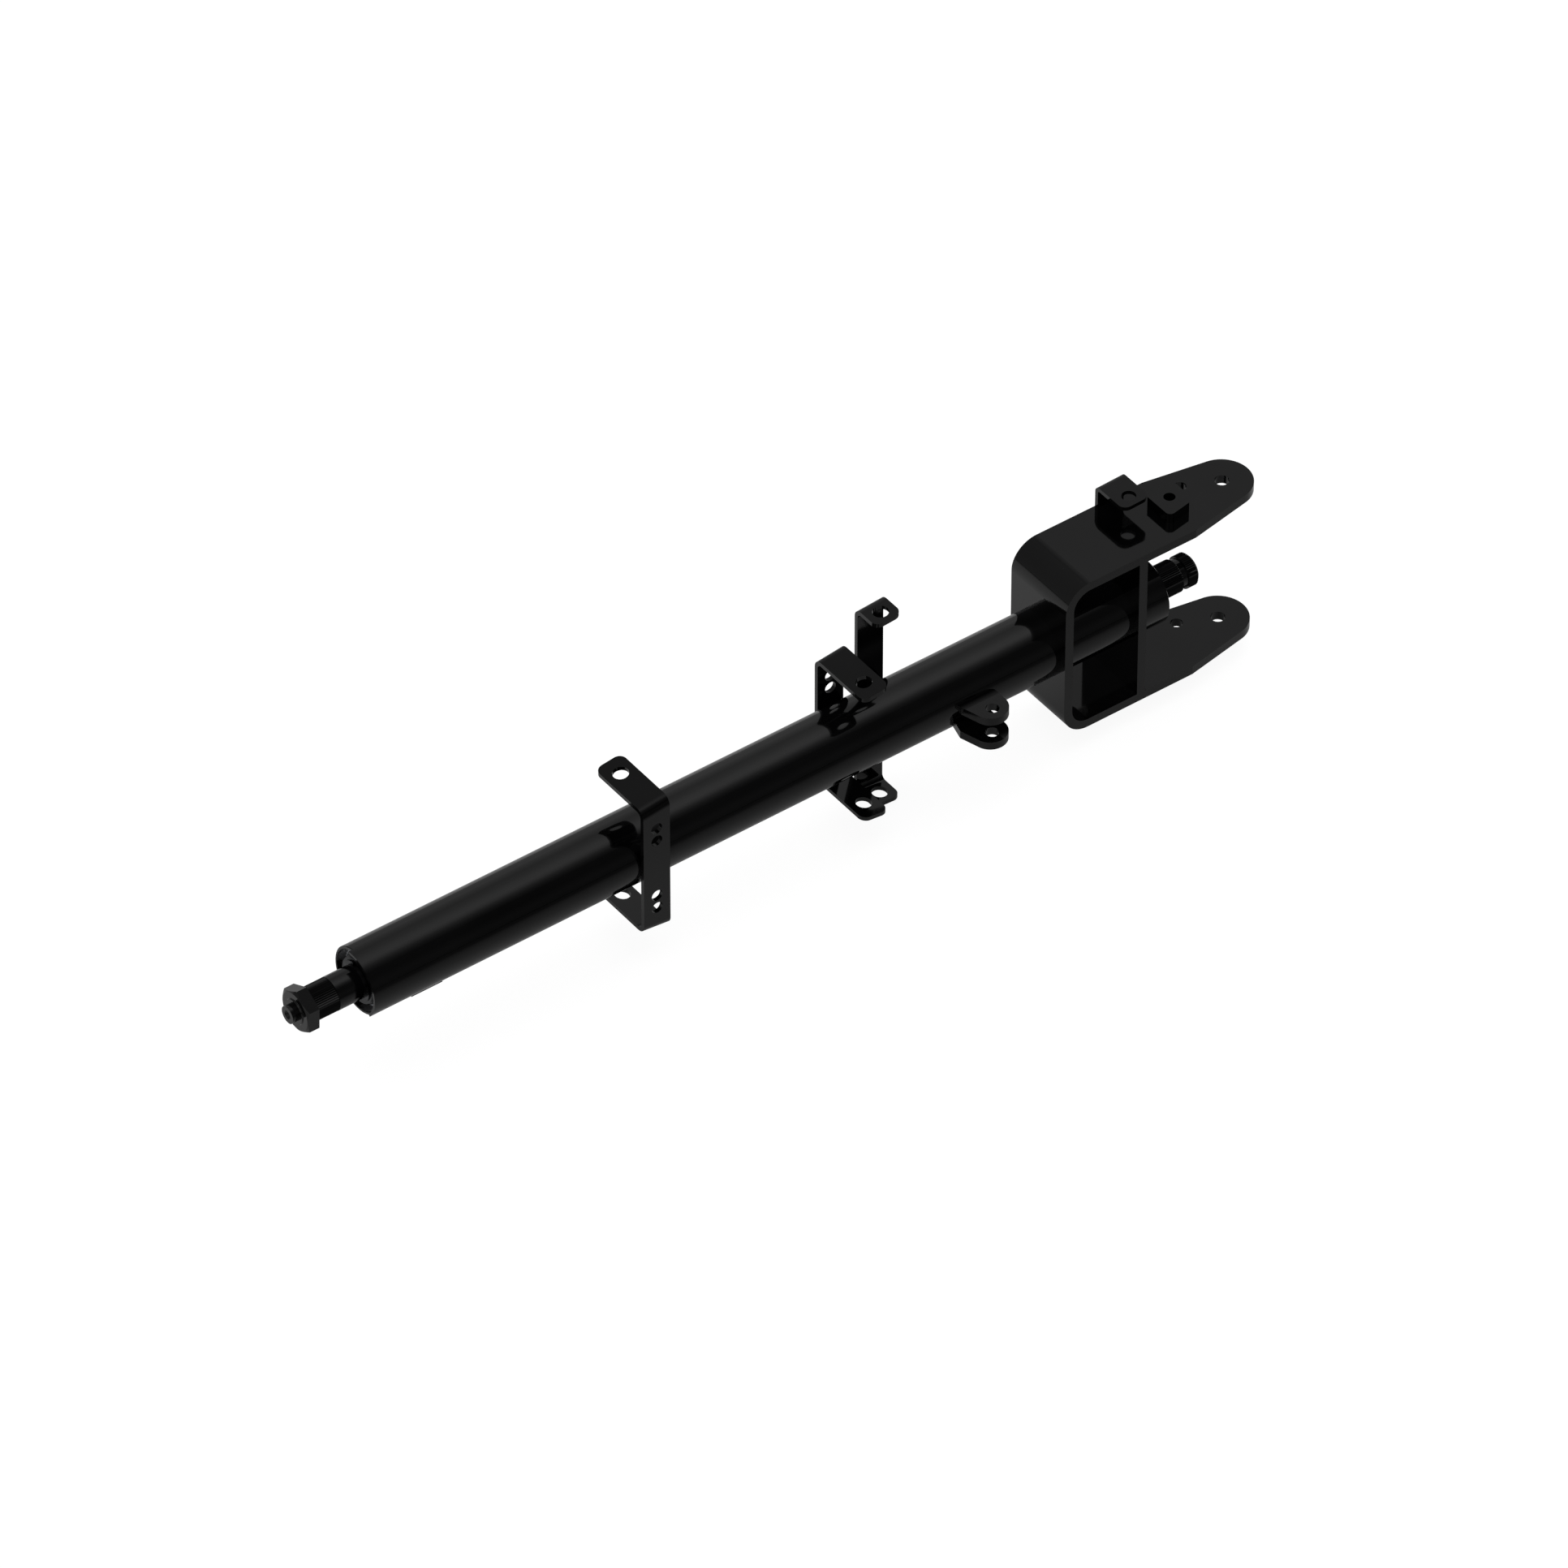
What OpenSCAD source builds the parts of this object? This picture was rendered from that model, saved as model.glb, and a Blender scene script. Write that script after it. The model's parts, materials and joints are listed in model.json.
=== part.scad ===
// Steering column: a jacket tube carrying a splined shaft on two ball bearings,
// with a welded fork bracket, shroud straps and a clevis lug.
// Frame: origin on the fork pivot axis where it crosses the column axis. The column
// axis runs along X, the steering wheel end at -X. The pivot axis is Z, +Z up.

/* [Jacket tube] */
// Outside diameter of the jacket tube
tube_od = 50.8; // [46:0.1:62]
// Wall of the jacket tube
tube_wall = 1.9; // [1.5:0.1:3]
// Length of the jacket tube
tube_len = 666; // [560:1:800]
// From the fork pivot axis back to the lower end of the tube
tube_setback = 63; // [50:0.5:76]
// Edge chamfer on both tube ends
tube_chamfer = 0.5; // [0.2:0.1:0.8]
// Length of the lip that stands out of the wheel end of the tube
lip_len = 3.2; // [2:0.1:5]
// Angle the lip spans round the tube
lip_span = 142; // [90:1:170]

/* [Lock pad] */
// Lock pad under the tube, from the wheel end of the tube to its middle
pad_station = 49.7; // [40:0.1:60]
// Length of the lock pad
pad_length = 25.2; // [20:0.1:31]
// Width of the lock pad
pad_width = 20; // [16:0.5:24]
// How far the lock pad stands below the tube
pad_height = 2.5; // [1.5:0.1:3.5]
// Bore through the lock pad and the tube wall
pad_bore = 9; // [7:0.5:11]

/* [Fork bracket] */
// Width of the fork plate, across Y
fork_width = 61.4; // [50:0.5:74]
// Overall height of the fork over both arms
fork_height = 132; // [108:1:160]
// Thickness of the fork plate and of the brace plate
fork_plate = 7; // [5:0.5:8.5]
// Inside bend radius of the fork plate
fork_bend = 14; // [6:0.5:17]
// From the pivot axis to the outer face of the fork wall
fork_reach = 158; // [132:1:190]
// From the pivot axis to the start of the taper on the arms
fork_taper_start = 46; // [38:1:55]
// Taper of each arm side in degrees
fork_taper = 10; // [8:0.5:12]
// Bore of the pivot holes
pivot_bore = 10.5; // [8.5:0.1:13]
// From the pivot axis to the near face of the brace plate
brace_setback = 87.6; // [78:0.5:94]
// Diameter of the stay hole in each arm
stay_bore = 9; // [7.5:0.1:11]
// Stay hole, from the pivot axis along X
stay_setback = 27; // [22:0.5:32]
// Stay hole, off the column axis along Y
stay_offset = 12; // [9:0.5:14]

/* [Shroud straps] */
// Width of the strap stock
strap_width = 22; // [18:0.5:26.5]
// Thickness of the strap stock
strap_thick = 3.2; // [2.5:0.1:4]
// Inside bend radius of a strap
strap_bend = 4; // [2.5:0.1:5]
// Corner radius on the strap flanges
strap_corner = 6; // [4:0.5:7.5]
// Diameter of the flange holes
flange_bore = 11.6; // [9.5:0.1:13.5]
// Diameter of the holes in the web of the short straps
web_bore = 9; // [7.5:0.1:10]
// Pitch of each pair of web holes
web_pitch = 11; // [10.6:0.1:13]
// Middle of a pair of web holes, off the column axis
web_pair = 30.4; // [29:0.2:34]
// Half height of the short straps
short_half = 56.7; // [54:0.1:70]
// How far the front strap sits below the column axis
front_drop = 1; // [0:0.1:3]
// Reach of the short strap flanges past the column axis
short_reach = 27; // [22:0.5:32]
// Flange hole of the short straps, past the column axis
short_hole = 12.3; // [10:0.1:14.5]
// Splay of the short strap flanges in degrees
short_splay = 7; // [0:0.5:9]
// Half height of the tall strap
tall_half = 84; // [70:0.5:100]
// Where the tall strap flanges stop, short of the column axis
tall_stop = 4; // [2:0.5:6]
// Flange hole of the tall strap, short of the column axis
tall_hole = 14; // [13:0.1:15]
// Splay of the tall strap flanges in degrees
tall_splay = 4; // [0:0.5:6]
// Front strap, from the tube's wheel end to its middle
front_station = 226.9; // [190:0.5:270]
// Rear short strap, from the tube's wheel end to its middle
rear_station = 412.6; // [350:0.5:425]
// Tall strap, from the tube's wheel end to its middle
tall_station = 446.3; // [440:0.5:480]

/* [Clevis lug] */
// Clevis lug, from the tube's wheel end to its bore
lug_station = 502.2; // [486:0.5:560]
// Clevis bore, off the column axis
lug_reach = 39.2; // [36:0.2:46]
// Radius of the lug tip
lug_tip = 12.9; // [11:0.1:14]
// How far the bore sits ahead of the middle of the tip radius
lug_lead = 2.5; // [0:0.1:3]
// Taper of the wheel side of a lug plate in degrees
lug_taper = 17; // [5:1:20]
// Thickness of a lug plate
lug_plate = 6.4; // [5:0.1:8]
// Clear gap between the two lug plates
lug_gap = 15.6; // [13:0.1:19]
// Middle of the clevis, below the column axis
lug_drop = 9.4; // [7.5:0.1:11]
// Bore of the clevis
lug_bore = 9.6; // [8:0.1:11.5]

/* [Top brackets] */
// Width of the corner bracket
corner_width = 22.6; // [18.2:0.2:27.2]
// Thickness of the corner bracket
corner_thick = 3; // [2.5:0.1:3.6]
// From the pivot axis to the middle of the corner bracket
corner_setback = 75.1; // [70:0.1:80]
// Height of the corner bracket over the fork arm
corner_height = 19; // [15:0.5:23]
// Reach of the corner bracket flange from its wall
corner_reach = 32; // [27:0.5:38]
// Hole in the corner bracket flange
corner_bore = 10.4; // [8.5:0.1:12]
// From the outer face of the wall to the hole in the flange
corner_hole = 22.8; // [19:0.2:24]
// Tilt of the corner bracket flange in degrees
corner_tilt = 2; // [0:0.5:4]
// From the pivot axis to the middle of the tapped block
block_setback = 45.7; // [44.5:0.1:48]
// Length of the tapped block along X
block_length = 24.2; // [20:0.1:29.1]
// Width of the tapped block along Y
block_width = 24.4; // [20.3:0.1:29.3]
// Height of the tapped block
block_height = 8.5; // [6.5:0.1:10]
// Tapped hole in the block
block_bore = 8.4; // [6.8:0.1:10.2]
// Middle of the tapped block, off the column axis
block_offset = 3.2; // [2:0.1:4]
// How far the cut corner of the block runs back from its pivot end
block_cut = 4.8; // [4:0.1:5.8]

/* [Shaft] */
// Shaft diameter at the bearings
shaft_d = 25; // [22:0.1:28]
// Diameter over the serrations
spline_d = 24.8; // [22.4:0.1:29]
// Number of serrations
spline_teeth = 48; // [36:1:60]
// Depth of a serration
spline_depth = 0.7; // [0.4:0.05:1]
// Thread diameter at the wheel end
thread_d = 20; // [17:0.5:22]
// Shaft past the tube at the wheel end, to the shoulder
shoulder_out = 22; // [17:0.5:27]
// Length of the wheel serration
wheel_spline = 17.5; // [15:0.5:22]
// Relief between the wheel serration and the nut
wheel_relief = 1.4; // [0.8:0.1:2]
// Length of thread past the nut
thread_tail = 0.8; // [0.5:0.1:2]
// Diameter of the turned stub past the thread
stub_d = 13.2; // [11:0.1:16]
// Length of the turned stub
stub_len = 5.3; // [4.5:0.1:7]
// Wheel nut across its flats
nut_flats = 30; // [27:0.5:36]
// Wheel nut thickness
nut_thick = 9.5; // [8:0.5:12]
// Shaft past the tube at the lower end
lower_out = 36.5; // [31:0.5:44]
// Length of the end serration past the clamp groove
end_spline = 9; // [7:0.5:11]
// Width of the clamp bolt groove
clamp_groove = 5; // [4:0.25:6]
// Depth of the clamp bolt groove
clamp_depth = 1.5; // [1:0.1:2]
// Plain shaft between the tube end and the lower serration
lower_plain = 4; // [3:0.5:6]

/* [Bearings] */
// Width of each ball bearing
bearing_width = 12; // [11:0.5:14.5]
// How far each bearing sits inside the tube end
bearing_recess = 5; // [4:0.5:7]
// Ball diameter
ball_d = 6.35; // [5:0.05:7]
// Number of balls in each bearing
ball_count = 10; // [7:1:11]
// Running clearance of a ball in its raceways
ball_play = 0.03; // [0.02:0.01:0.08]
// Thickness of a bearing shield
shield_thick = 0.6; // [0.5:0.1:1]
// Running gap of a shield round the inner ring
shield_gap = 0.3; // [0.3:0.05:0.6]
// Width of the stop ring pressed in behind each bearing
stop_width = 4; // [3:0.5:6]
// Radial height of a stop ring
stop_height = 2.5; // [2:0.1:3]
// Thickness of a shaft circlip
clip_thick = 1.2; // [1:0.1:1.5]
// Depth of a circlip groove in the shaft
clip_depth = 0.6; // [0.4:0.05:0.8]
// Diameter of the collar in front of the upper bearing
collar_d = 36; // [33:0.5:40]
// How far the collar stops short of the tube end
collar_inset = 0.2; // [0:0.1:1]
// How far a circlip stands out of the shaft
clip_stand = 2.8; // [2:0.1:3.2]
// Free height of the preload disc spring
spring_height = 2.4; // [1.8:0.1:3]
// Thickness of the preload disc spring
spring_thick = 1; // [0.7:0.05:1.2]
// Number of stakes at each end of the tube
stake_count = 4; // [3:1:8]
// Width of a stake
stake_width = 6; // [4:0.5:8]
// How far a stake stands in from the bore
stake_depth = 1.6; // [1.2:0.1:2]
// Length of a stake along the tube
stake_len = 1.8; // [1.2:0.1:2.4]

/* [Welds] */
// Leg of the ring welds round the tube
ring_weld = 2.5; // [2:0.5:4]
// Reach of the strap welds above and below the line where the web meets the tube
strap_weld = 9; // [7:0.5:11]
// Length of a strap weld along X
strap_weld_len = 18; // [14:1:18]
// Leg of the small bracket welds
seat_weld = 2; // [1.5:0.1:2.4]

/* [Hidden] */
$fn = 96;

tube_r = tube_od / 2;
bore_r = tube_r - tube_wall;
tube_low = -tube_setback;
tube_top = tube_low - tube_len;
arm_top = fork_height / 2;
arm_in = arm_top - fork_plate;
shaft_r = shaft_d / 2;
spline_r = spline_d / 2;
thread_r = thread_d / 2;
ball_r = ball_d / 2;
pitch_r = (bore_r + shaft_r) / 2;
race_shoulder = ball_r * 0.76;
race_curve = ball_r * 1.04;
inner_or = pitch_r - race_shoulder;
outer_ir = pitch_r + race_shoulder;
upper_mid = tube_top + bearing_recess + bearing_width / 2;
lower_mid = tube_low - bearing_recess - bearing_width / 2;
shoulder_x = tube_top - shoulder_out;
nut_seat_x = shoulder_x - wheel_spline - wheel_relief;
nut_front_x = nut_seat_x - nut_thick;
thread_end_x = nut_front_x - thread_tail;
shaft_top_x = thread_end_x - stub_len;
shaft_low_x = tube_low + lower_out;
groove_b = shaft_low_x - end_spline;
groove_a = groove_b - clamp_groove;
lower_spline_a = tube_low + lower_plain;
upper_clip_x = upper_mid + bearing_width / 2;
collar_x = tube_top + collar_inset;
front_clip_x = collar_x - clip_thick;
lower_clip_x = lower_mid - bearing_width / 2 - spring_height - clip_thick;
seat_z = arm_top;
e = 0.5;
// A straight side meets its round tip this far inside the tip's radius
tip_inset = 0.02;

// Turns a solid built along +Z so that it runs along +X
module along_x(x = 0) {
  translate([x, 0, 0]) rotate([0, 90, 0]) children();
}

// Plain round bar along X from a to b
module bar_x(a, b, r) {
  along_x(a) cylinder(h = b - a, r = r);
}

// Ring along X from a to b
module ring_x(a, b, ro, ri) {
  difference() {
    bar_x(a, b, ro);
    bar_x(a - e, b + e, ri);
  }
}

// Flat plate outline: a round tip on the origin, its sides widening by the taper angle
// out to the distance run, where it is cut off square
function tip_half(r, taper, run) = (r + run * sin(taper)) / cos(taper);
module tapered_plan(r, taper, run) {
  s = r - tip_inset;
  circle(r);
  polygon([
    [s * sin(taper), s * cos(taper)],
    [-run, tip_half(r, taper, run)],
    [-run, -tip_half(r, taper, run)],
    [s * sin(taper), -s * cos(taper)]
  ]);
}

// Square of half size w by h with round corners of radius r, in the plane
module round_box(x0, x1, y0, y1, r) {
  translate([x0 + r, y0]) square([x1 - x0 - 2 * r, y1 - y0]);
  translate([x0, y0 + r]) square([x1 - x0, y1 - y0 - 2 * r]);
  for (x = [x0 + r, x1 - r], y = [y0 + r, y1 - r]) translate([x, y]) circle(r);
}

// ---- jacket tube and its welded fittings ----

module stake_blocks(a, b) {
  for (k = [0:stake_count - 1])
    rotate([45 + k * 360 / stake_count, 0, 0])
      translate([a, bore_r - stake_depth, -stake_width / 2])
        cube([b - a, stake_depth + tube_wall / 2, stake_width]);
}

// Everything beside the lip in front of the tube end, with the chamfer of that end
module lip_relief() {
  along_x(tube_top)
    rotate(lip_span - 190)
      rotate_extrude(angle = 360 - lip_span)
        polygon([
          [bore_r - 1, -lip_len - e],
          [tube_r + 1, -lip_len - e],
          [tube_r + 1, tube_chamfer + 1],
          [tube_r - tube_chamfer, 0],
          [bore_r - 1, 0]
        ]);
}

module jacket_tube() {
  color("#1b1c1e") {
    difference() {
      bar_x(tube_top - lip_len, tube_low, tube_r);
      bar_x(tube_top - lip_len - e, tube_low + e, bore_r);
      lip_relief();
      pad_hole();
      along_x(tube_low)
        rotate_extrude()
          polygon([
            [tube_r - tube_chamfer, 0],
            [tube_r + 1, 1 + tube_chamfer],
            [tube_r + 1, -tube_chamfer - 1],
            [tube_r, -tube_chamfer]
          ]);
    }
    stake_blocks(tube_top + bearing_recess - stake_len, tube_top + bearing_recess);
    stake_blocks(tube_low - bearing_recess, tube_low - bearing_recess + stake_len);
  }
}

// The radial hole through the lock pad and the tube wall above it
module pad_hole() {
  translate([tube_top + pad_station, 0, -tube_r - pad_height - e])
    cylinder(h = pad_height + tube_wall + 3, r = pad_bore / 2);
}

module lock_pad() {
  rise = 0.6 - sqrt(pow(tube_r, 2) - pow(pad_width / 2, 2));
  color("#1b1c1e")
    difference() {
      translate([tube_top + pad_station - pad_length / 2, -pad_width / 2, -tube_r - pad_height])
        cube([pad_length, pad_width, rise + tube_r + pad_height]);
      bar_x(tube_top, tube_low, tube_r);
      pad_hole();
    }
}

module fork_plan() {
  r = fork_width / 2 * cos(fork_taper) - fork_taper_start * sin(fork_taper);
  tapered_plan(r, fork_taper, fork_taper_start);
  translate([-fork_reach - e, -fork_width / 2])
    square([fork_reach + e - fork_taper_start + 0.01, fork_width]);
}

module fork_bracket() {
  ro = fork_bend + fork_plate;
  color("#1b1c1e")
    difference() {
      intersection() {
        linear_extrude(fork_height, center = true) fork_plan();
        rotate([90, 0, 0])
          linear_extrude(fork_width + 2, center = true)
            difference() {
              round_box(-fork_reach, fork_width, -arm_top, arm_top, ro);
              round_box(-fork_reach + fork_plate, fork_width + 60, -arm_in, arm_in, fork_bend);
            }
      }
      bar_x(-fork_reach - e, -fork_reach + fork_plate + e, tube_r);
      translate([0, 0, -arm_top - e]) cylinder(h = fork_height + 2 * e, r = pivot_bore / 2);
      translate([-stay_setback, stay_offset, -arm_top - e])
        cylinder(h = fork_height + 2 * e, r = stay_bore / 2);
    }
}

module brace_plate() {
  color("#1b1c1e")
    difference() {
      translate([-brace_setback - fork_plate, -fork_width / 2, -arm_in])
        cube([fork_plate, fork_width, 2 * arm_in]);
      bar_x(-brace_setback - fork_plate - e, -brace_setback + e, tube_r);
    }
}

// One flange with its bend, at the top of a web that stands in the plane Y = 0 to thick.
// The flange runs to -Y; its upper face is at Z = 0 over X = 0 and tilts about Y.
module bent_flange(width, thick, bend, reach, corner, bore, hole, tilt, leg) {
  ro = bend + thick;
  intersection() {
    rotate([0, -tilt, 0])
      difference() {
        union() {
          translate([-width, thick - reach, -thick]) cube([2 * width, reach - ro, thick]);
          translate([-width, 0, -leg]) cube([2 * width, thick, leg - ro]);
          intersection() {
            translate([-width, thick - ro, -ro]) cube([2 * width, ro, ro]);
            translate([-width, thick - ro, -ro]) rotate([0, 90, 0]) cylinder(h = 2 * width, r = ro);
          }
        }
        translate([-width - e, thick - ro, -ro]) rotate([0, 90, 0]) cylinder(h = 2 * width + 2 * e, r = bend);
        translate([0, thick - hole, -thick - e]) cylinder(h = thick + 2 * e, r = bore / 2);
      }
    translate([0, 0, -leg - width])
      linear_extrude(leg + 2 * width) round_flange_plan(width, thick, reach, corner);
  }
}

module round_flange_plan(width, thick, reach, corner) {
  translate([-width / 2, thick - reach + corner]) square([width, reach - corner + e]);
  translate([-width / 2 + corner, thick - reach]) square([width - 2 * corner, reach]);
  for (s = [-1, 1])
    translate([s * (width / 2 - corner), thick - reach + corner]) circle(corner);
}

// A C strap whose web stands against the tube on its +Y side
module strap(half, reach, hole, splay) {
  leg = strap_bend + strap_thick + 10;
  translate([0, tube_r, 0]) {
    for (s = [0, 1])
      mirror([0, 0, s])
        translate([0, 0, half])
          bent_flange(strap_width, strap_thick, strap_bend, reach, strap_corner,
                      flange_bore, hole, splay, leg);
    translate([-strap_width / 2, 0, -half + leg - 4])
      cube([strap_width, strap_thick, 2 * (half - leg + 4)]);
  }
}

module short_strap() {
  over = tube_r + strap_thick;
  difference() {
    strap(short_half, short_reach + over, short_hole + over, short_splay);
    for (s = [-1, 1], k = [-0.5, 0.5])
      translate([0, tube_r - e, s * web_pair + k * web_pitch])
        rotate([-90, 0, 0]) cylinder(h = strap_thick + 2 * e, r = web_bore / 2);
  }
}

module front_strap() {
  color("#1b1c1e")
    translate([tube_top + front_station, 0, -front_drop]) mirror([0, 1, 0]) short_strap();
}

module rear_strap() {
  color("#1b1c1e") translate([tube_top + rear_station, 0, 0]) short_strap();
}

module tall_strap() {
  over = tube_r + strap_thick;
  color("#1b1c1e")
    translate([tube_top + tall_station, 0, 0])
      strap(tall_half, over - tall_stop, over - tall_hole, tall_splay);
}

module lug_at(z) {
  run = lug_reach - lug_lead - tube_r;
  foot = lug_drop + lug_gap / 2 + lug_plate;
  deep = lug_reach - lug_lead - sqrt(max(pow(tube_r, 2) - pow(foot, 2), 36)) - 0.6;
  wide = tip_half(lug_tip, lug_taper, run);
  side = lug_tip - tip_inset;
  difference() {
    translate([tube_top + lug_station, -lug_reach, z])
      difference() {
        linear_extrude(lug_plate)
          translate([0, lug_lead])
            union() {
              circle(lug_tip);
              polygon([
                [side, 0],
                [side, deep],
                [-wide + 4, deep],
                [-wide, run],
                [-side * cos(lug_taper), -side * sin(lug_taper)]
              ]);
            }
        translate([0, 0, -e]) cylinder(h = lug_plate + 2 * e, r = lug_bore / 2);
      }
    bar_x(tube_top + lug_station - 60, tube_top + lug_station + 60, tube_r);
  }
}

module upper_lug() {
  color("#1b1c1e") lug_at(-lug_drop + lug_gap / 2);
}

module lower_lug() {
  color("#1b1c1e") lug_at(-lug_drop - lug_gap / 2 - lug_plate);
}

module corner_bracket() {
  leg = corner_height - 0.4;
  color("#1b1c1e")
    translate([-corner_setback, fork_width / 2 - corner_thick, seat_z])
      difference() {
        union() {
          translate([0, 0, corner_height])
            bent_flange(corner_width, corner_thick, strap_bend * 0.5, corner_reach, strap_corner,
                        corner_bore, corner_hole, corner_tilt, leg);
          translate([-corner_width / 2, 0, 0]) cube([corner_width, corner_thick, corner_height / 2]);
        }
        translate([-corner_width, -corner_reach - 5, -10]) cube([2 * corner_width, 2 * corner_reach, 10]);
      }
}

module tapped_block() {
  w = block_width;
  l = block_length;
  c = 4;
  near = c - tip_inset;
  start = -l / 2 + c + near * sin(fork_taper);
  toe = -w / 2 + c - near * cos(fork_taper);
  side = toe + (l / 2 - block_cut - start) * tan(fork_taper);
  color("#1b1c1e")
    translate([-block_setback, -block_offset, seat_z])
      difference() {
        linear_extrude(block_height)
          union() {
            polygon([
              [-l / 2, w / 2],
              [-l / 2, -w / 2 + c],
              [start, toe],
              [l / 2 - block_cut, side],
              [l / 2, side + block_cut * 1.5],
              [l / 2, w / 2]
            ]);
            translate([-l / 2 + c, -w / 2 + c]) circle(c);
          }
        translate([0, block_offset, -e]) cylinder(h = block_height + 2 * e, r = block_bore / 2);
      }
}

// Ring weld round the tube, its flat side at x and its toe in the direction side
module ring_bead(x, side) {
  translate([x, 0, 0])
    rotate([0, side * 90, 0])
      rotate_extrude()
        polygon([[tube_r, 0], [tube_r + ring_weld, 0], [tube_r, ring_weld]]);
}

// Two welds in the wedge between a strap web and the tube, above and below their line of contact
module strap_beads(station, side) {
  deep = tube_r - sqrt(pow(tube_r, 2) - pow(strap_weld, 2)) + 0.1;
  translate([tube_top + station, 0, 0])
    mirror([0, side < 0 ? 1 : 0, 0])
      for (s = [0, 1])
        mirror([0, 0, s])
          difference() {
            translate([-strap_weld_len / 2, tube_r - deep, 4])
              cube([strap_weld_len, deep, strap_weld - 4]);
            bar_x(-strap_width, strap_width, tube_r);
          }
}

// Fillet along Y in the corner between the brace plate and a fork arm
module brace_beads() {
  for (s = [0, 1])
    mirror([0, 0, s])
      rotate([90, 0, 0])
        linear_extrude(fork_width - 8, center = true)
          polygon([
            [-brace_setback, arm_in],
            [-brace_setback + ring_weld, arm_in],
            [-brace_setback, arm_in - ring_weld]
          ]);
}

// Fillets under the lug plates and round the feet of the top brackets
module lug_beads() {
  run = 2 * lug_tip;
  for (z = [-lug_drop - lug_gap / 2 - lug_plate, -lug_drop + lug_gap / 2])
    difference() {
      translate([tube_top + lug_station - run / 2, -tube_r - seat_weld, z - seat_weld])
        cube([run, tube_r, seat_weld]);
      bar_x(tube_top, tube_low, tube_r);
      translate([tube_top + lug_station - run, -tube_r - seat_weld, z - seat_weld])
        rotate([0, 90, 0])
          translate([0, 0, -1]) cylinder(h = 2 * run + 2, r = seat_weld * 0.8);
    }
}

module foot_beads() {
  translate([-corner_setback + corner_width / 2, fork_width / 2, seat_z])
    rotate([90, 0, 0])
      linear_extrude(corner_thick) polygon([[0, 0], [seat_weld, 0], [0, seat_weld]]);
  translate([-block_setback + block_length / 2, block_width / 6, seat_z])
    rotate([90, 0, 0])
      linear_extrude(block_width / 3) polygon([[0, 0], [seat_weld, 0], [0, seat_weld]]);
}

module weld_beads() {
  color("#1b1c1e") {
    ring_bead(-fork_reach + fork_plate, 1);
    ring_bead(-brace_setback, 1);
    strap_beads(front_station, -1);
    strap_beads(rear_station, 1);
    strap_beads(tall_station, 1);
    brace_beads();
    lug_beads();
    foot_beads();
  }
}

// ---- bearing parts ----

module stop_rings() {
  color("#2a2c2f") {
    ring_x(upper_mid + bearing_width / 2, upper_mid + bearing_width / 2 + stop_width,
           bore_r, bore_r - stop_height);
    ring_x(lower_mid - bearing_width / 2 - stop_width, lower_mid - bearing_width / 2,
           bore_r, bore_r - stop_height);
  }
}

module outer_ring(x) {
  h = bearing_width / 2;
  color("#c9ccd0")
    difference() {
      ring_x(x - h, x + h, bore_r, outer_ir);
      along_x(x)
        rotate_extrude()
          translate([pitch_r + ball_r + ball_play - race_curve, 0]) circle(race_curve);
    }
}

module upper_outer_ring() {
  outer_ring(upper_mid);
}

module lower_outer_ring() {
  outer_ring(lower_mid);
}

module inner_ring(x) {
  h = bearing_width / 2;
  color("#c9ccd0")
    difference() {
      ring_x(x - h, x + h, inner_or, shaft_r);
      along_x(x)
        rotate_extrude()
          translate([pitch_r - ball_r - ball_play + race_curve, 0]) circle(race_curve);
    }
}

module upper_inner_ring() {
  inner_ring(upper_mid);
}

module lower_inner_ring() {
  inner_ring(lower_mid);
}

module shields(x) {
  h = bearing_width / 2 - 0.5;
  color("#a9adb2") {
    ring_x(x - h, x - h + shield_thick, outer_ir, inner_or + shield_gap);
    ring_x(x + h - shield_thick, x + h, outer_ir, inner_or + shield_gap);
  }
}

module upper_shields() {
  shields(upper_mid);
}

module lower_shields() {
  shields(lower_mid);
}

module balls(x) {
  color("#d5d8dc")
    for (k = [0:ball_count - 1])
      rotate([k * 360 / ball_count, 0, 0]) translate([x, 0, pitch_r]) sphere(ball_r);
}

module upper_balls() {
  balls(upper_mid);
}

module lower_balls() {
  balls(lower_mid);
}

module cage(x) {
  half = min(ball_r + 1, bearing_width / 2 - 0.5 - shield_thick - 0.5);
  band = race_shoulder - 1;
  color("#b48a3c")
    difference() {
      ring_x(x - half, x + half, pitch_r + band, pitch_r - band);
      for (k = [0:ball_count - 1])
        rotate([k * 360 / ball_count, 0, 0])
          translate([x, 0, pitch_r - band - 1]) cylinder(h = 2 * band + 2, r = ball_r - 0.03);
    }
}

module upper_cage() {
  cage(upper_mid);
}

module lower_cage() {
  cage(lower_mid);
}

// ---- shaft and what turns with it ----

// Serrated length of shaft from a to b
module spline_x(a, b) {
  n = spline_teeth;
  points = [for (k = [0:2 * n - 1])
    let (r = k % 2 == 0 ? spline_r : spline_r - spline_depth, w = k * 180 / n)
      [r * cos(w), r * sin(w)]];
  along_x(a) linear_extrude(b - a) polygon(points);
}

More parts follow.
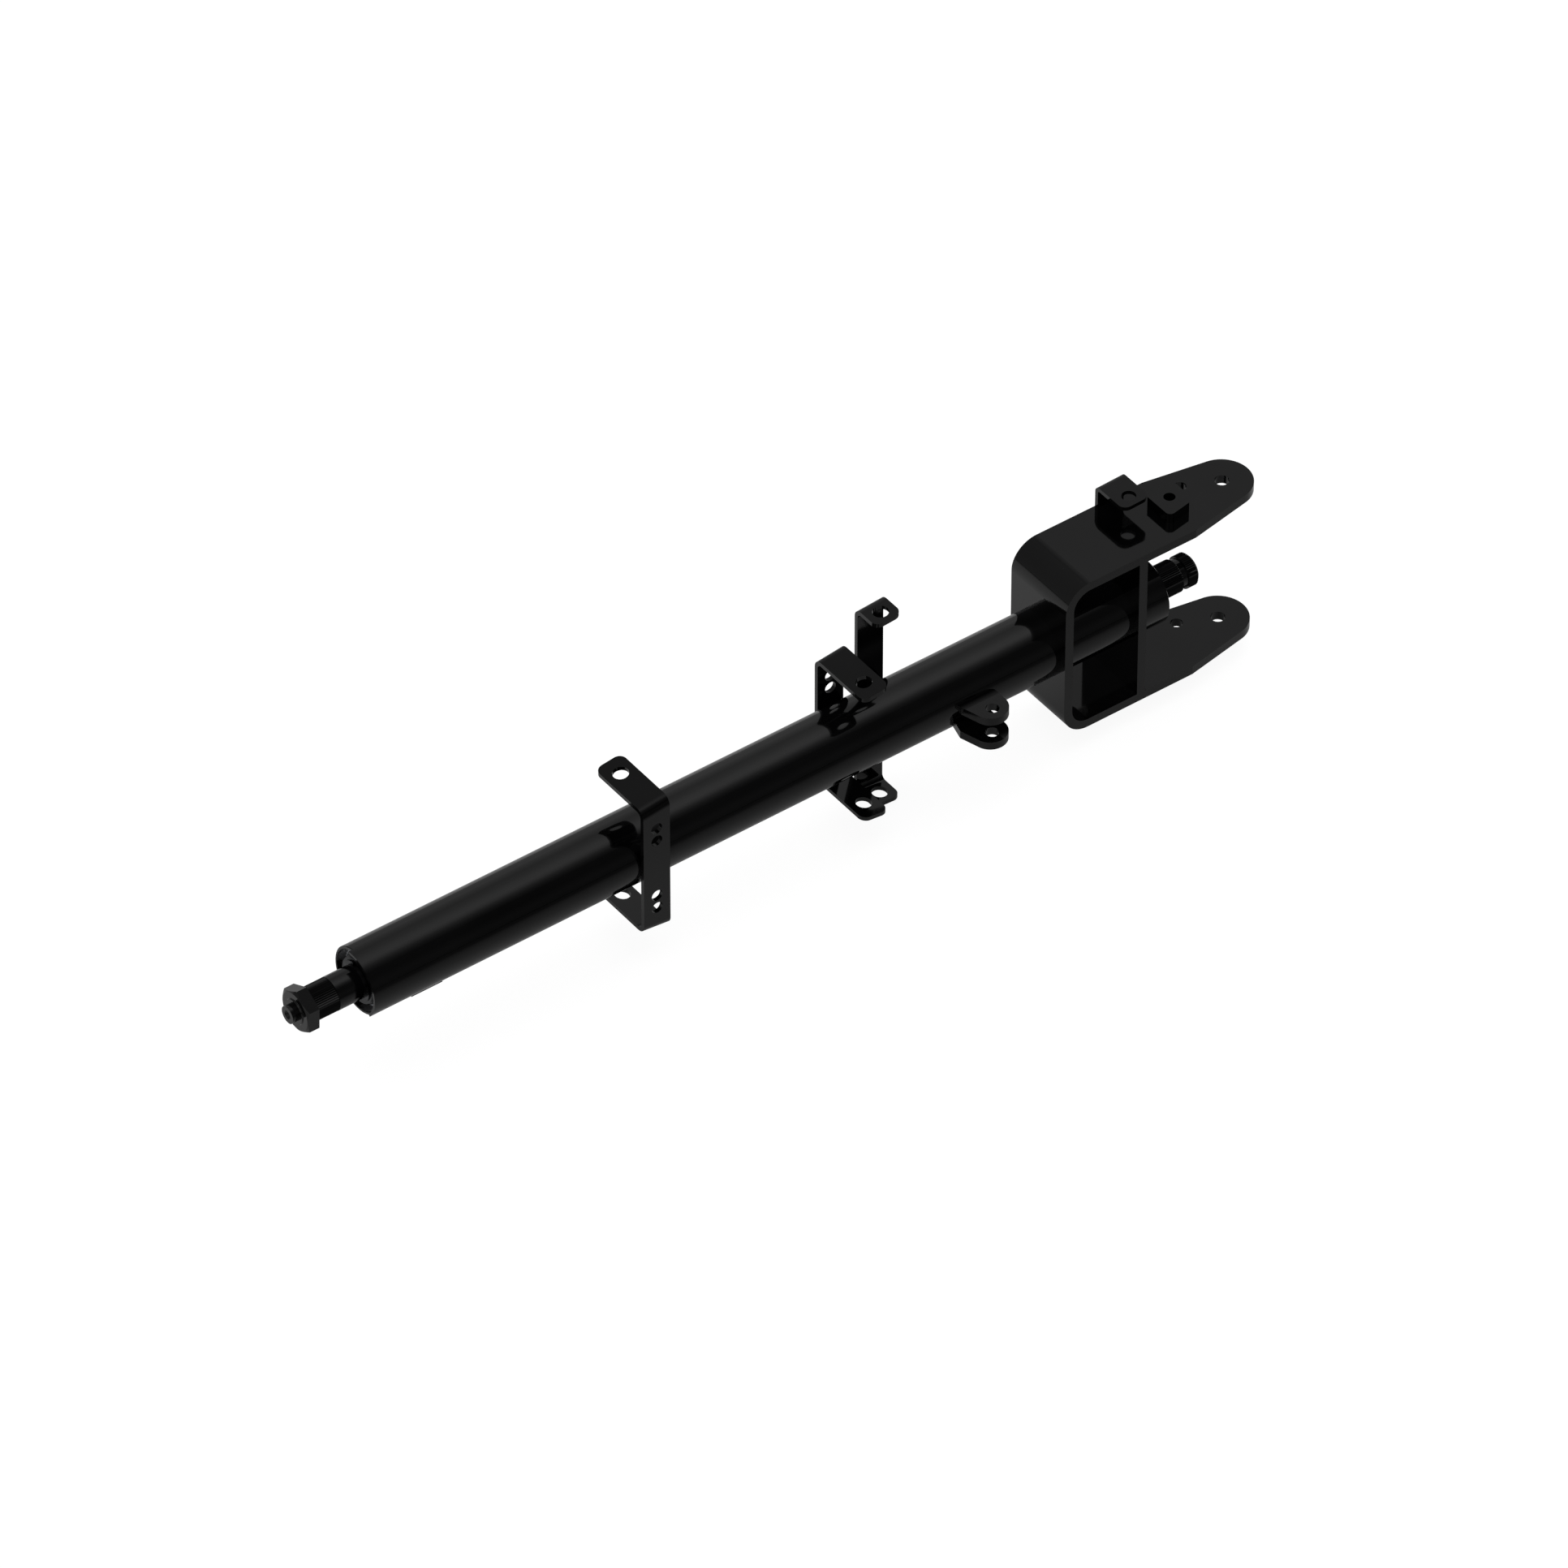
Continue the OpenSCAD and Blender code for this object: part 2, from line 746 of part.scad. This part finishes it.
module steering_shaft() {
  root = spline_r - spline_depth;
  color("#26282b")
    difference() {
      union() {
        bar_x(shaft_top_x, thread_end_x + 1, stub_d / 2);
        bar_x(thread_end_x, nut_seat_x + wheel_relief + 1, thread_r);
        spline_x(nut_seat_x + wheel_relief, shoulder_x + 1);
        bar_x(shoulder_x, lower_spline_a, shaft_r);
        spline_x(lower_spline_a - 1, groove_a);
        bar_x(groove_a - 1, groove_b + 1, spline_r - clamp_depth);
        spline_x(groove_b, shaft_low_x - 1.5);
        along_x(shaft_low_x - 2) cylinder(h = 2, r1 = root - 0.1, r2 = root - 1.3);
      }
      for (x = [front_clip_x, upper_clip_x, lower_clip_x])
        ring_x(x, x + clip_thick, shaft_r + 1, shaft_r - clip_depth);
      along_x(thread_end_x)
        rotate_extrude()
          polygon([[thread_r - 1, -0.2], [thread_r + 0.2, -0.2], [thread_r + 0.2, 0.95]]);
      along_x(shaft_top_x - e) cylinder(h = 5 + e, r = 1.6);
      along_x(shaft_top_x) cylinder(h = 2.6, r1 = 3.4, r2 = 1.2);
      along_x(shaft_low_x - 5) cylinder(h = 5 + e, r = 2);
    }
}

module wheel_nut() {
  corner = nut_flats / 2 / cos(30);
  c = 1.6;
  color("#1f2123")
    difference() {
      intersection() {
        along_x(nut_front_x) rotate(2) cylinder(h = nut_thick, r = corner, $fn = 6);
        along_x(nut_front_x)
          union() {
            cylinder(h = c, r1 = nut_flats / 2 - 0.6, r2 = nut_flats / 2 - 0.6 + c * 1.75);
            translate([0, 0, c]) cylinder(h = nut_thick - c, r = corner + 1);
          }
      }
      bar_x(nut_front_x - e, nut_seat_x + e, thread_r);
    }
}

module shaft_collar() {
  c = 0.8;
  far = upper_mid - bearing_width / 2;
  color("#2c2e31")
    difference() {
      union() {
        along_x(collar_x) cylinder(h = c, r1 = collar_d / 2 - c, r2 = collar_d / 2);
        bar_x(collar_x + c, far - 1, collar_d / 2);
        bar_x(far - 1, far, inner_or - 0.4);
      }
      bar_x(collar_x - e, far + e, shaft_r);
    }
}

module circlip(x) {
  difference() {
    ring_x(x, x + clip_thick, shaft_r + clip_stand, shaft_r - clip_depth);
    translate([x - e, -2.5, 0]) cube([clip_thick + 2 * e, 5, shaft_r + clip_stand + 1]);
  }
}

module shaft_circlips() {
  color("#34373a") {
    circlip(front_clip_x);
    circlip(upper_clip_x);
    circlip(lower_clip_x);
  }
}

module preload_spring() {
  x = lower_clip_x + clip_thick;
  ri = shaft_r + 0.4;
  ro = inner_or - 0.2;
  color("#3c3f43")
    along_x(x)
      rotate_extrude()
        polygon([
          [ri, 0],
          [ri + 0.3, 0],
          [ro, spring_height - spring_thick],
          [ro, spring_height],
          [ro - 0.3, spring_height],
          [ri, spring_thick]
        ]);
}

jacket_tube();
lock_pad();
fork_bracket();
brace_plate();
front_strap();
rear_strap();
tall_strap();
upper_lug();
lower_lug();
corner_bracket();
tapped_block();
weld_beads();
stop_rings();
upper_outer_ring();
lower_outer_ring();
upper_shields();
lower_shields();
steering_shaft();
wheel_nut();
upper_inner_ring();
lower_inner_ring();
shaft_collar();
shaft_circlips();
preload_spring();
upper_balls();
upper_cage();
lower_balls();
lower_cage();
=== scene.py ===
# Steering column: gloss black jacket, brackets and shaft, looked at from the wheel end.
import bpy
import bmesh
import json
import math
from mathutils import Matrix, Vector


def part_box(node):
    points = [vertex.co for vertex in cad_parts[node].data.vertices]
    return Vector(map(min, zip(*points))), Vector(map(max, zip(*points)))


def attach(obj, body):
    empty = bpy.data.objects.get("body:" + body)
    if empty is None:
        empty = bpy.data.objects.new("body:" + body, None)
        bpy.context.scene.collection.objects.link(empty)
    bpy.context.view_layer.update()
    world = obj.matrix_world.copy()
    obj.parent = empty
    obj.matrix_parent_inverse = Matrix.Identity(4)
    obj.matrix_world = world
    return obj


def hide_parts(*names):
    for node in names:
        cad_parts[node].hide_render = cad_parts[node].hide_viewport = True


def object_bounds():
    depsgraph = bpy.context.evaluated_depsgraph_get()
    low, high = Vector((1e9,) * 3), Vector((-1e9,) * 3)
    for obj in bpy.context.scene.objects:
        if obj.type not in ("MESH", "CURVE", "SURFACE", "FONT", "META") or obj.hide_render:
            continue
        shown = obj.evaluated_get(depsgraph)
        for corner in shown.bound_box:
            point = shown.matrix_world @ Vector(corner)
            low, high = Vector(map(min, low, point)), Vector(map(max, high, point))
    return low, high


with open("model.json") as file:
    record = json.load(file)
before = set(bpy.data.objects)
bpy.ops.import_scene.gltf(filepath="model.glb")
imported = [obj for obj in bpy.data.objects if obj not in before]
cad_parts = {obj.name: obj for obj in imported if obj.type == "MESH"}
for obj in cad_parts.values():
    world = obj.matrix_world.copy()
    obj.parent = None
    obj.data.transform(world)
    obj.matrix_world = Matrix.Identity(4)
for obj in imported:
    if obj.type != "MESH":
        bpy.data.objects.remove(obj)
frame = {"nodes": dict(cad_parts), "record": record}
cad_low, cad_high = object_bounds()
nodes = frame["nodes"]
scene = bpy.context.scene

# ---------- sizes, in metres ----------

BROKEN_EDGE = 0.00035    # rounding left on the edges of the cut plates
RIPPLE = 0.0024          # length of one ripple along a weld
RING_LEG = 0.0024        # welds round the tube and at the ends of the brace
SEAT_LEG = 0.0019        # welds of the lugs, the corner bracket and the tapped block
STRAP_LEG = 0.0011       # thin runs in the wedge between a strap and the tube
STRAP_RUN = 0.018        # length of a strap's run along X
STRAP_RISE = 0.0078      # how far above and below the column axis those runs lie
LUG_RUN = 0.023          # length of a lug's run along X
BRACE_INSET = 0.004      # the brace's end runs stop this far short of its corners
CORNER_RUN = 0.003       # length of the corner bracket's run
FLOOR_GAP = 0.0004       # the floor lies this far below the object
FLOOR_HALF = 30          # half the width of the floor

# ---------- material helpers ----------


def link(t, a, b):
    t.links.new(a, b)


def new_material(name):
    m = bpy.data.materials.new(name)
    m.use_nodes = True
    t = m.node_tree
    t.nodes.clear()
    out = t.nodes.new("ShaderNodeOutputMaterial")
    bsdf = t.nodes.new("ShaderNodeBsdfPrincipled")
    link(t, bsdf.outputs[0], out.inputs[0])
    coord = t.nodes.new("ShaderNodeTexCoord")
    return m, t, bsdf, coord


def noise(t, coord, scale, detail=3.0, stretch=(1, 1, 1)):
    mapping = t.nodes.new("ShaderNodeMapping")
    mapping.inputs["Scale"].default_value = stretch
    link(t, coord.outputs["Object"], mapping.inputs["Vector"])
    n = t.nodes.new("ShaderNodeTexNoise")
    n.inputs["Scale"].default_value = scale
    n.inputs["Detail"].default_value = detail
    link(t, mapping.outputs[0], n.inputs["Vector"])
    return n


def spread(t, source, low, high, start=0.3, end=0.7):
    """source from start to end becomes low to high, and stays there beyond them."""
    r = t.nodes.new("ShaderNodeMapRange")
    r.inputs["From Min"].default_value = start
    r.inputs["From Max"].default_value = end
    r.inputs["To Min"].default_value = low
    r.inputs["To Max"].default_value = high
    link(t, source, r.inputs["Value"])
    return r.outputs[0]


def ramp(t, source, stops):
    """A colour for each value of source from 0 to 1. Each stop is its place and its colour."""
    node = t.nodes.new("ShaderNodeValToRGB")
    elements = node.color_ramp.elements
    while len(elements) < len(stops):
        elements.new(0.5)
    for k, (place, colour) in enumerate(stops):
        elements[k].position = place
        elements[k].color = (*colour, 1)
    link(t, source, node.inputs[0])
    return node.outputs[0]


def two_tone(t, source, dark, light):
    return ramp(t, source, [(0.35, dark), (0.65, light)])


def greys(stops):
    return [(place, (v, v, v)) for place, v in stops]


def bump(t, bsdf, source, strength, distance):
    b = t.nodes.new("ShaderNodeBump")
    b.inputs["Strength"].default_value = strength
    b.inputs["Distance"].default_value = distance
    link(t, source, b.inputs["Height"])
    link(t, b.outputs[0], bsdf.inputs["Normal"])


def maths(t, operation, a, b=None):
    """One operation on the socket a. b is a socket, a number, or nothing."""
    n = t.nodes.new("ShaderNodeMath")
    n.operation = operation
    link(t, a, n.inputs[0])
    if isinstance(b, float):
        n.inputs[1].default_value = b
    elif b is not None:
        link(t, b, n.inputs[1])
    return n.outputs[0]


def mix_shaders(t, share, one, two):
    """Shader one where share is 0 and shader two where it is 1. share is a socket or a number."""
    mix = t.nodes.new("ShaderNodeMixShader")
    if isinstance(share, float):
        mix.inputs[0].default_value = share
    else:
        link(t, share, mix.inputs[0])
    link(t, one.outputs[0], mix.inputs[1])
    link(t, two.outputs[0], mix.inputs[2])
    return mix


def camera_ray(t):
    return t.nodes.new("ShaderNodeLightPath").outputs["Is Camera Ray"]


# ---------- materials ----------


def paint(name, dark, light, rough, peel):
    """Gloss paint: a faint flow in the colour and gloss, and the fine skin of sprayed paint."""
    m, t, bsdf, coord = new_material(name)
    flow = noise(t, coord, 26, 4)
    skin = noise(t, coord, 520, 2)
    link(t, two_tone(t, flow.outputs[0], dark, light), bsdf.inputs["Base Color"])
    link(t, spread(t, flow.outputs[0], *rough), bsdf.inputs["Roughness"])
    bsdf.inputs["IOR"].default_value = 1.5
    bump(t, bsdf, skin.outputs[0], peel, 0.00004)
    return m


def metal(name, dark, light, rough, stretch, grain):
    """Machined metal: tool marks stretched along or round the part."""
    m, t, bsdf, coord = new_material(name)
    marks = noise(t, coord, 300, 4, stretch)
    cloud = noise(t, coord, 30, 3)
    link(t, two_tone(t, marks.outputs[0], dark, light), bsdf.inputs["Base Color"])
    link(t, spread(t, cloud.outputs[0], *rough), bsdf.inputs["Roughness"])
    bsdf.inputs["Metallic"].default_value = 1.0
    bump(t, bsdf, marks.outputs[0], grain, 0.00005)
    return m


# darker tone, lighter tone, roughness from and to, strength of the skin
PAINTS = {
    "gloss_black": ((0.0003, 0.0003, 0.00033), (0.0008, 0.0008, 0.00088), (0.05, 0.085), 0.10),
    "black_shaft": ((0.0003, 0.0003, 0.00036), (0.0011, 0.0011, 0.0012), (0.07, 0.12), 0.12),
    "black_nut": ((0.0003, 0.0003, 0.00034), (0.001, 0.001, 0.0011), (0.06, 0.10), 0.10),
}
# darker tone, lighter tone, roughness from and to, stretch of the tool marks, their strength
METALS = {
    "dark_steel": ((0.02, 0.021, 0.023), (0.05, 0.051, 0.054), (0.18, 0.3), (4, 0.4, 0.4), 0.2),
    "bearing_steel": ((0.36, 0.37, 0.39), (0.5, 0.51, 0.53), (0.12, 0.22), (6, 0.3, 0.3), 0.15),
    "brass_cage": ((0.42, 0.28, 0.09), (0.58, 0.41, 0.16), (0.22, 0.36), (2, 1, 1), 0.2),
}
MATERIALS = {name: paint(name, *look) for name, look in PAINTS.items()}
MATERIALS.update({name: metal(name, *look) for name, look in METALS.items()})

slots = {p["node"]: p["material_slot"] for p in frame["record"]["subparts"]}
for name, obj in nodes.items():
    obj.data.materials.clear()
    obj.data.materials.append(MATERIALS[slots[name]])

# ---------- broken edges on the cut and bent plates ----------

PLATES = ["fork_bracket", "brace_plate", "front_strap", "rear_strap", "tall_strap", "upper_lug",
          "lower_lug", "corner_bracket", "tapped_block", "lock_pad"]
for name in PLATES:
    edge = nodes[name].modifiers.new("broken_edge", "BEVEL")
    edge.width = BROKEN_EDGE
    edge.segments = 2
    edge.limit_method = "ANGLE"
    edge.angle_limit = math.radians(40)
    edge.harden_normals = True

# ---------- weld beads ----------


def bead(bm, stations, leg, closed=False, sweep=90.0, steps=7):
    """One rippled bead through stations: distance along it, place, and two directions.

    Its face is an arc of sweep degrees from the first direction toward the second. A bead in a
    corner also has a root, sunk a little into the metal. An open bead tapers at its ends.
    """
    rings = []
    for dist, p, a, b in stations:
        wave = (dist / RIPPLE) % 1.0
        size = leg * (0.9 + 0.1 * (1 - (2 * wave - 1) ** 2))
        if not closed:
            left = min(dist, stations[-1][0] - dist) / leg
            size *= min(1.0, 0.45 + 0.55 * left)
        ring = [bm.verts.new(p - (a + b) * leg * 0.12)] if sweep < 180 else []
        for k in range(steps):
            w = math.radians(sweep * k / (steps - 1 if sweep < 180 else steps))
            ring.append(bm.verts.new(p + (a * math.cos(w) + b * math.sin(w)) * size))
        rings.append(ring)
    n = len(rings[0])
    last = len(rings) if closed else len(rings) - 1
    for i in range(last):
        one, two = rings[i], rings[(i + 1) % len(rings)]
        for k in range(n):
            bm.faces.new((one[k], one[(k + 1) % n], two[(k + 1) % n], two[k]))
    if not closed:
        bm.faces.new(rings[0][::-1])
        bm.faces.new(rings[-1])


def straight(start, end, a, b, step=0.0004):
    """Stations on a line, about a step apart."""
    start, end = Vector(start), Vector(end)
    a, b = Vector(a).normalized(), Vector(b).normalized()
    run = (end - start).length
    count = max(2, int(round(run / step)))
    return [(run * k / count, start.lerp(end, k / count), a, b) for k in range(count + 1)]


def round_tube(x, r, side):
    """Stations round the tube at x, six to each ripple."""
    turns = int(2 * math.pi * r / RIPPLE)
    count = turns * 6
    out = []
    for k in range(count):
        w = 2 * math.pi * k / count
        b = Vector((0, math.cos(w), math.sin(w)))
        place = Vector((x, 0, 0)) + b * r
        out.append((turns * RIPPLE * k / count, place, Vector((side, 0, 0)), b))
    return out


def weld_piece():
    """Every weld of the jacket as one rippled piece, in place of the plain CAD beads."""
    tube_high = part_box("jacket_tube")[1]
    fork_low, fork_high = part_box("fork_bracket")
    brace_low, brace_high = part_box("brace_plate")
    block_low, block_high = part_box("tapped_block")
    corner_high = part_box("corner_bracket")[1]
    r = tube_high[1]
    plate = brace_high[0] - brace_low[0]
    top = fork_high[2]
    bm = bmesh.new()

    # rings round the tube, on the pivot side of the fork's wall and of the brace
    bead(bm, round_tube(fork_low[0] + plate, r, 1), RING_LEG, closed=True)
    bead(bm, round_tube(brace_high[0], r, 1), RING_LEG, closed=True)

    # the ends of the brace, against the inside of each arm
    for s in (-1, 1):
        z = s * brace_high[2]
        y = brace_high[1] - BRACE_INSET
        start, end = (brace_high[0], -y, z), (brace_high[0], y, z)
        bead(bm, straight(start, end, (1, 0, 0), (0, 0, -s)), RING_LEG)

    # two runs between each strap's web and the tube
    for name, side in (("front_strap", -1), ("rear_strap", 1), ("tall_strap", 1)):
        low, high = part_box(name)
        x = (low[0] + high[0]) / 2
        y = side * (r + math.sqrt(r * r - STRAP_RISE * STRAP_RISE)) / 2
        for s in (-1, 1):
            z = s * STRAP_RISE
            start, end = (x - STRAP_RUN / 2, y, z), (x + STRAP_RUN / 2, y, z)
            bead(bm, straight(start, end, (0, 1, 0), (0, 0, 1)), STRAP_LEG, sweep=360.0, steps=10)

    # under each lug, where it meets the round of the tube
    for name in ("upper_lug", "lower_lug"):
        low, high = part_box(name)
        x = (low[0] + high[0]) / 2
        z = low[2]
        lean = math.asin(z / r)
        y = -r * math.cos(lean)
        down = (0, -math.sin(lean), -math.cos(lean))
        start, end = (x - LUG_RUN / 2, y, z), (x + LUG_RUN / 2, y, z)
        bead(bm, straight(start, end, (0, -1, 0), down), SEAT_LEG)

    # the feet of the corner bracket and of the tapped block, on the upper arm
    third = (block_high[1] - block_low[1]) / 6
    for x, y0, y1 in ((corner_high[0], fork_high[1] - CORNER_RUN, fork_high[1]),
                      (block_high[0], -third, third)):
        bead(bm, straight((x, y0, top), (x, y1, top), (1, 0, 0), (0, 0, 1)), SEAT_LEG)

    bmesh.ops.recalc_face_normals(bm, faces=bm.faces)
    mesh = bpy.data.meshes.new("weld_runs")
    bm.to_mesh(mesh)
    bm.free()
    for f in mesh.polygons:
        f.use_smooth = True
    piece = bpy.data.objects.new("weld_runs", mesh)
    scene.collection.objects.link(piece)
    mesh.materials.append(MATERIALS["gloss_black"])
    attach(piece, "column")
    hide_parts("weld_beads")


weld_piece()

# ---------- floor ----------

# Painted shade: how pale the floor is where the paint mirrors it, a darker copy of the floor the
# camera sees, painted darker toward the front between these two places along Y
SHADE_FROM, SHADE_TO = -0.5, 0.3
FLOOR_PAINTED_SHADE = [(0.0, 0.05), (0.11, 0.075), (0.39, 0.155), (0.48, 0.185), (0.56, 0.24),
              (0.62, 0.29), (0.75, 0.33), (1.0, 0.34)]
# The floor that the camera sees glows evenly, apart from this share, which takes the shadow
SHADOW_SHARE = 0.13
FLOOR_GLOW = 1.12


def floor_material():
    """Plain pale floor. What the paint mirrors of it is a darker copy, with painted shade that
    deepens in front of the object.
    """
    m, t, bsdf, coord = new_material("pale_floor")
    grain = noise(t, coord, 3, 3)
    pale = two_tone(t, grain.outputs[0], (0.93, 0.93, 0.93), (0.95, 0.95, 0.95))
    link(t, pale, bsdf.inputs["Base Color"])
    bsdf.inputs["Roughness"].default_value = 0.9
    bsdf.inputs["Specular IOR Level"].default_value = 0.0
    even = t.nodes.new("ShaderNodeEmission")
    even.inputs["Color"].default_value = (0.9, 0.9, 0.9, 1)
    even.inputs["Strength"].default_value = FLOOR_GLOW
    seen = mix_shaders(t, SHADOW_SHARE, even, bsdf)

    # Painted shade: the copy of the floor that the paint mirrors, darker toward the front and far
    # darker than the floor the camera sees
    place = t.nodes.new("ShaderNodeSeparateXYZ")
    link(t, coord.outputs["Object"], place.inputs[0])
    painted_shade = spread(t, place.outputs["Y"], 0, 1, SHADE_FROM, SHADE_TO)
    shaded_mirror_floor = t.nodes.new("ShaderNodeBsdfDiffuse")
    link(t, ramp(t, painted_shade, greys(FLOOR_PAINTED_SHADE)), shaded_mirror_floor.inputs["Color"])

    out = next(n for n in t.nodes if n.type == "OUTPUT_MATERIAL")
    # The camera sees the even pale floor, and the paint mirrors the painted-shade copy
    link(t, mix_shaders(t, camera_ray(t), shaded_mirror_floor, seen).outputs[0], out.inputs[0])
    return m


def make_floor():
    mesh = bpy.data.meshes.new("floor")
    bm = bmesh.new()
    bmesh.ops.create_grid(bm, x_segments=8, y_segments=8, size=FLOOR_HALF)
    bm.to_mesh(mesh)
    bm.free()
    floor = bpy.data.objects.new("floor", mesh)
    floor.location = (cad_low.x / 2, 0, cad_low.z - FLOOR_GAP)
    scene.collection.objects.link(floor)
    mesh.materials.append(floor_material())


make_floor()

# ---------- studio ----------

# Brightness by angle about X: 0 straight ahead on the far side, 0.5 overhead, 1 the near side
ROOM = [(0.0, 0.27), (0.07, 0.30), (0.13, 0.40), (0.2, 0.37), (0.27, 0.33), (0.36, 0.45),
        (0.44, 0.62), (0.50, 0.67), (0.54, 0.55), (0.59, 0.29), (0.64, 0.14), (0.70, 0.055),
        (0.8, 0.05), (0.92, 0.085), (1.0, 0.07)]
# The same for soft panels to either side, which give the other views something to mirror
WINGS = [(0.0, 0.20), (0.2, 0.20), (0.33, 0.21), (0.44, 0.36), (0.50, 0.50), (0.58, 0.46),
         (0.66, 0.20), (0.74, 0.34), (0.86, 0.42), (0.95, 0.26), (1.0, 0.18)]
# By the X of the direction looked in: below the second of these the room dims, to half at the
# first, and the wings take over from it between these two distances from its middle
ROOM_DIM = (0.25, 0.45)
ROOM_MIDDLE = 0.44
WINGS_FROM = (0.16, 0.28)
BACKDROP = (0.97, 0.97, 0.97, 1)


def make_world():
    """A soft studio: a pale wall behind the object, a soft panel overhead, a dark room in front.

    The camera itself sees only a plain backdrop.
    """
    world = bpy.data.worlds.new("studio")
    scene.world = world
    world.use_nodes = True
    t = world.node_tree
    t.nodes.clear()
    out = t.nodes.new("ShaderNodeOutputWorld")
    coord = t.nodes.new("ShaderNodeTexCoord")
    part = t.nodes.new("ShaderNodeSeparateXYZ")
    link(t, coord.outputs["Generated"], part.inputs[0])
    angle = maths(t, "ARCTAN2", part.outputs["Z"], part.outputs["Y"])
    turn = maths(t, "DIVIDE", angle, math.pi)

    room = t.nodes.new("ShaderNodeBackground")
    link(t, ramp(t, turn, greys(ROOM)), room.inputs["Color"])
    link(t, spread(t, part.outputs["X"], 0.5, 1.0, *ROOM_DIM), room.inputs["Strength"])
    wings = t.nodes.new("ShaderNodeBackground")
    link(t, ramp(t, turn, greys(WINGS)), wings.inputs["Color"])
    off = maths(t, "ABSOLUTE", maths(t, "SUBTRACT", part.outputs["X"], ROOM_MIDDLE))
    whole = mix_shaders(t, spread(t, off, 0, 1, *WINGS_FROM), room, wings)

    plain = t.nodes.new("ShaderNodeBackground")
    plain.inputs["Color"].default_value = BACKDROP
    link(t, mix_shaders(t, camera_ray(t), whole, plain).outputs[0], out.inputs[0])


def overhead(name, y, height, size, watts, shadow):
    """A soft square light over the middle of the column, which the paint doesn't mirror."""
    data = bpy.data.lights.new(name, "AREA")
    data.shape = "SQUARE"
    data.size = size
    data.energy = watts
    data.use_shadow = shadow
    obj = bpy.data.objects.new(name, data)
    scene.collection.objects.link(obj)
    middle = (cad_low + cad_high) / 2
    place, aim = Vector((middle.x, y, height)), Vector((middle.x, 0, 0))
    obj.location = place
    obj.rotation_mode = "QUATERNION"
    obj.rotation_quaternion = (aim - place).to_track_quat("-Z", "Y")
    obj.visible_glossy = False


make_world()
overhead("overhead_fill", y=0, height=3.2, size=5.0, watts=150, shadow=False)
overhead("overhead_soft", y=0.2, height=2.4, size=3.0, watts=27, shadow=True)
scene.view_settings.view_transform = "Standard"

# ---------- camera ----------

CAMERA_BACK = (-0.44172, -0.59613, 0.67046)    # from the object toward the camera
CAMERA_AIM = (-0.374535, 0.0, -0.013917)
CAMERA_DISTANCE = 9.1249
CAMERA_LENS = 308.5                            # in mm, on a sensor 36 mm wide


def make_camera():
    back = Vector(CAMERA_BACK).normalized()
    data = bpy.data.cameras.new("camera")
    data.sensor_width = 36
    data.lens = CAMERA_LENS
    data.clip_start, data.clip_end = 0.5, 100
    cam = bpy.data.objects.new("camera", data)
    scene.collection.objects.link(cam)
    cam.location = Vector(CAMERA_AIM) + back * CAMERA_DISTANCE
    cam.rotation_mode = "QUATERNION"
    cam.rotation_quaternion = (-back).to_track_quat("-Z", "Y")
    scene.camera = cam


make_camera()
